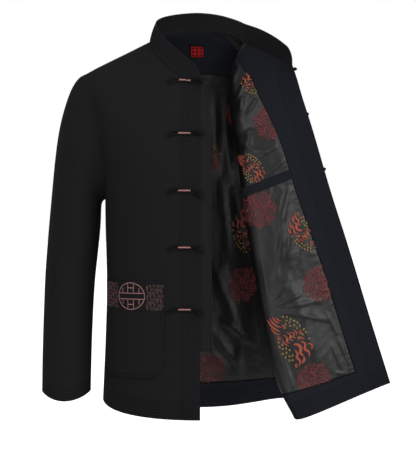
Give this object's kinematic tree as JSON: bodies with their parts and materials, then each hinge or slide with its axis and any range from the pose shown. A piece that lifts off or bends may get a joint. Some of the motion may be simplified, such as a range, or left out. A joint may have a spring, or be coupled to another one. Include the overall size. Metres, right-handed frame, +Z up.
{
  "type": "tang jacket",
  "caption": "Lined stand-collar jacket with corded frog fastenings, patch pockets and an open left front, held hollow as if worn.",
  "frame": {"origin": "centre of the neck at the height of the shoulder neck points, where the wearer holds the jacket up", "axes": "+Z up, -Y towards the front of the wearer, -X to the wearer's right"},
  "size_m": [0.67, 0.3113, 0.7847],
  "materials": {
    "black_cloth": "matte fine twill",
    "facing_cloth": "matte fine twill",
    "figured_satin": "shiny satin with woven red and gold figures",
    "embroidered_band": "black cloth with copper pink line stitching",
    "black_cord": "satin cord",
    "copper_bar": "copper pink wrapped thread",
    "red_label": "woven label"
  },
  "bodies": {
    "root": {"back": "black_cloth", "front_right": "black_cloth", "front_left": "black_cloth", "sleeve_right": "black_cloth", "sleeve_left": "black_cloth", "collar": "black_cloth", "under_placket": "black_cloth", "pocket_right": "black_cloth", "pocket_left": "black_cloth", "facing_left": "facing_cloth", "hem_facing_left": "facing_cloth", "hem_facing_back": "facing_cloth", "yoke_facing": "facing_cloth", "inner_pocket_welt": "facing_cloth", "lining_back": "figured_satin", "lining_left": "figured_satin", "pocket_band_right": "embroidered_band", "pocket_band_left": "embroidered_band", "label": "red_label", "frog_right_1": "black_cord", "frog_left_1": "black_cord", "knot_1": "black_cord", "bar_right_1": "copper_bar", "bar_left_1": "copper_bar", "frog_right_2": "black_cord", "frog_left_2": "black_cord", "knot_2": "black_cord", "bar_right_2": "copper_bar", "bar_left_2": "copper_bar", "frog_right_3": "black_cord", "frog_left_3": "black_cord", "knot_3": "black_cord", "bar_right_3": "copper_bar", "bar_left_3": "copper_bar", "frog_right_4": "black_cord", "frog_left_4": "black_cord", "knot_4": "black_cord", "bar_right_4": "copper_bar", "bar_left_4": "copper_bar", "frog_right_5": "black_cord", "frog_left_5": "black_cord", "knot_5": "black_cord", "bar_right_5": "copper_bar", "bar_left_5": "copper_bar"}
  },
  "joints": []
}
